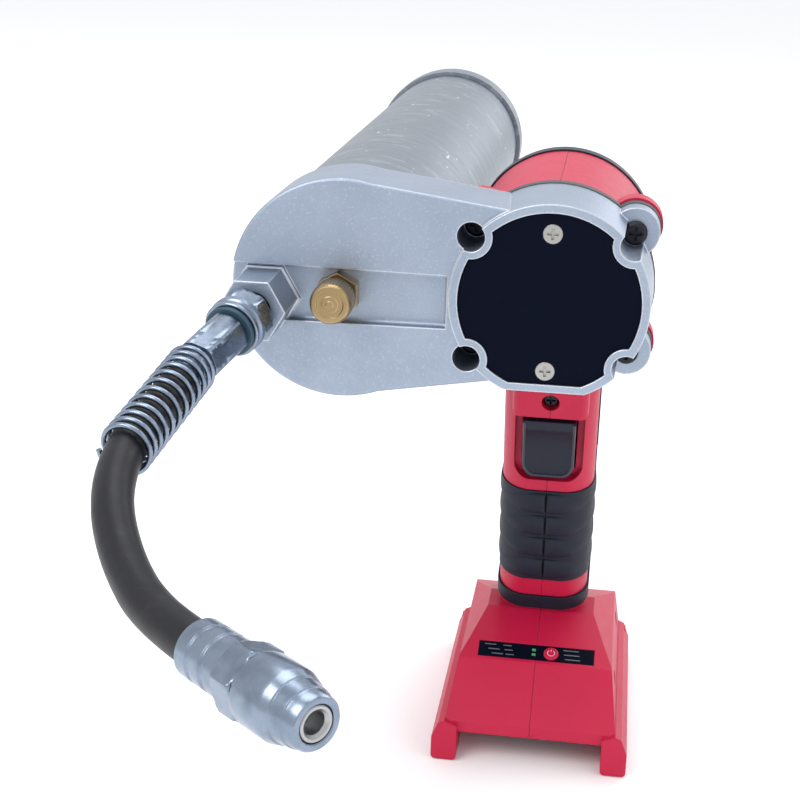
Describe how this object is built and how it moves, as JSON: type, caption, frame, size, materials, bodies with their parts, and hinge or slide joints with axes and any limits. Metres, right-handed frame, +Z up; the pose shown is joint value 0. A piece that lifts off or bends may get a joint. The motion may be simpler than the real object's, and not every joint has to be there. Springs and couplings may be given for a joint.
{
  "type": "cordless grease gun",
  "caption": "Cordless pistol-grip grease gun with a side barrel, geared pump head, short whip hose and an empty battery base.",
  "frame": {"origin": "middle of the battery rails' mouth, on the plane of the base's feet", "axes": "+Z up, -Y the working front with the cover plate and hose port, +Y towards the barrel's rear end, +X to the motor side"},
  "size_m": [0.1444, 0.5115, 0.2247],
  "materials": {
    "cast_aluminium": "sand cast, fine grain",
    "cover_black": "satin black plate",
    "screw_steel": "nickel plated",
    "black_steel": "black oxide",
    "plated_steel": "bright zinc plated",
    "brass": "turned brass",
    "housing_pink": "moulded, fine texture",
    "rubber_black": "soft overmould",
    "gasket_grey": "flat gasket",
    "barrel_metal": "drawn tube, scuffed",
    "hose_rubber": "smooth hose cover",
    "gear_steel": "hardened steel",
    "motor_steel": "rolled steel can",
    "spring_steel": "spring wire",
    "seal_blue": "bonded seal",
    "seal_cream": "cream sealing ring",
    "board_green": "circuit board",
    "lamp": "small lamp window",
    "nylon_black": "moulded nylon",
    "copper": "copper terminal"
  },
  "bodies": {
    "tool": {"pump_head": "cast_aluminium", "cover_plate": "cover_black", "cover_screws": "screw_steel", "head_screws": "black_steel", "head_gasket": "gasket_grey", "bleed_body": "brass", "plunger_sleeve": "gear_steel", "plunger_seal": "rubber_black", "output_bearing": "gear_steel", "ring_gear": "gear_steel", "gear_case": "nylon_black", "motor_can": "motor_steel", "motor_bearings": "gear_steel", "housing_left": "housing_pink", "housing_right": "housing_pink", "housing_screws": "black_steel", "front_screw": "black_steel", "grip_left": "rubber_black", "grip_right": "rubber_black", "neck_ring": "rubber_black", "side_strips": "rubber_black", "label_panel": "cover_black", "status_lights": "lamp", "control_board": "board_green", "switch_body": "nylon_black", "trigger_spring": "spring_steel", "terminal_block": "nylon_black", "terminal_blades": "copper", "rear_cap": "nylon_black", "port_adapter": "plated_steel", "port_seal": "seal_blue", "check_spring": "spring_steel", "hose_fitting": "plated_steel", "hose_ferrule": "plated_steel", "spring_guard": "plated_steel", "hose": "hose_rubber", "coupler_ferrule": "plated_steel", "coupler_body": "plated_steel", "coupler_jaws": "gear_steel"},
    "rotor": {"rotor_core": "motor_steel", "rotor_shaft": "gear_steel", "cooling_fan": "nylon_black"},
    "carrier": {"planet_carrier": "gear_steel", "crankshaft": "gear_steel"},
    "planet_1": {"planet_gear_1": "gear_steel"},
    "planet_2": {"planet_gear_2": "gear_steel"},
    "planet_3": {"planet_gear_3": "gear_steel"},
    "plunger": {"plunger": "gear_steel", "plunger_yoke": "gear_steel"},
    "check_ball": {"check_ball": "gear_steel"},
    "bleed_knob": {"bleed_knob": "brass"},
    "trigger": {"trigger": "nylon_black"},
    "power_button": {"power_button": "housing_pink"},
    "barrel_gasket": {"barrel_gasket": "seal_cream"},
    "barrel": {"barrel_tube": "barrel_metal", "barrel_cap": "barrel_metal", "follower_spring": "spring_steel"},
    "follower": {"follower_piston": "rubber_black", "follower_rod": "plated_steel", "rod_handle": "plated_steel"}
  },
  "joints": [
    {"name": "rotor_spin", "type": "hinge", "parent": "tool", "child": "rotor", "pos_m": [0, -0.033, 0.1905], "axis": [0, 1, 0], "continuous": true},
    {"name": "carrier_spin", "type": "hinge", "parent": "tool", "child": "carrier", "pos_m": [0, -0.07, 0.1905], "axis": [0, 1, 0], "continuous": true},
    {"name": "planet_1_spin", "type": "hinge", "parent": "carrier", "child": "planet_1", "pos_m": [0, -0.058, 0.20265], "axis": [0, 1, 0], "continuous": true},
    {"name": "planet_2_spin", "type": "hinge", "parent": "carrier", "child": "planet_2", "pos_m": [-0.01052, -0.058, 0.18443], "axis": [0, 1, 0], "continuous": true},
    {"name": "planet_3_spin", "type": "hinge", "parent": "carrier", "child": "planet_3", "pos_m": [0.01052, -0.058, 0.18443], "axis": [0, 1, 0], "continuous": true},
    {"name": "plunger_stroke", "type": "slide", "parent": "tool", "child": "plunger", "axis": [-1, 0, 0], "range_m": [-0.004, 0.004]},
    {"name": "check_ball_lift", "type": "slide", "parent": "tool", "child": "check_ball", "axis": [-0.2307, -0.9518, -0.2019], "range_m": [0, 0.0015], "stiffness_N_per_m": 300, "springref_m": -0.004, "deforming": ["check_spring"]},
    {"name": "bleed_knob_turn", "type": "hinge", "parent": "tool", "child": "bleed_knob", "pos_m": [-0.0642, -0.105, 0.1893], "axis": [0, -1, 0], "range_deg": [0, 540]},
    {"name": "trigger_pull", "type": "slide", "parent": "tool", "child": "trigger", "axis": [0, 0.9622, 0.2723], "range_m": [0, 0.007], "stiffness_N_per_m": 600, "springref_m": -0.005, "deforming": ["trigger_spring"]},
    {"name": "power_button_press", "type": "slide", "parent": "tool", "child": "power_button", "axis": [0, 0.4061, -0.9138], "range_m": [0, 0.0008], "stiffness_N_per_m": 500, "springref_m": -0.001},
    {"name": "gasket_advance", "type": "slide", "parent": "tool", "child": "barrel_gasket", "axis": [0, 1, 0], "range_m": [0, 0.006]},
    {"name": "barrel_turn", "type": "hinge", "parent": "barrel_gasket", "child": "barrel", "pos_m": [-0.0637, -0.05, 0.1905], "axis": [0, 1, 0], "range_deg": [0, 1080]},
    {"name": "follower_pull", "type": "slide", "parent": "barrel", "child": "follower", "axis": [0, 1, 0], "range_m": [0, 0.2], "stiffness_N_per_m": 150, "springref_m": -0.2, "deforming": ["follower_spring"]}
  ],
  "couplings": [
    {"joint": "carrier_spin", "follows": "rotor_spin", "ratio": 0.22222},
    {"joint": "planet_1_spin", "follows": "rotor_spin", "ratio": -0.62222},
    {"joint": "planet_2_spin", "follows": "rotor_spin", "ratio": -0.62222},
    {"joint": "planet_3_spin", "follows": "rotor_spin", "ratio": -0.62222},
    {"joint": "gasket_advance", "follows": "barrel_turn", "m_per_rad": 0.00031831}
  ]
}
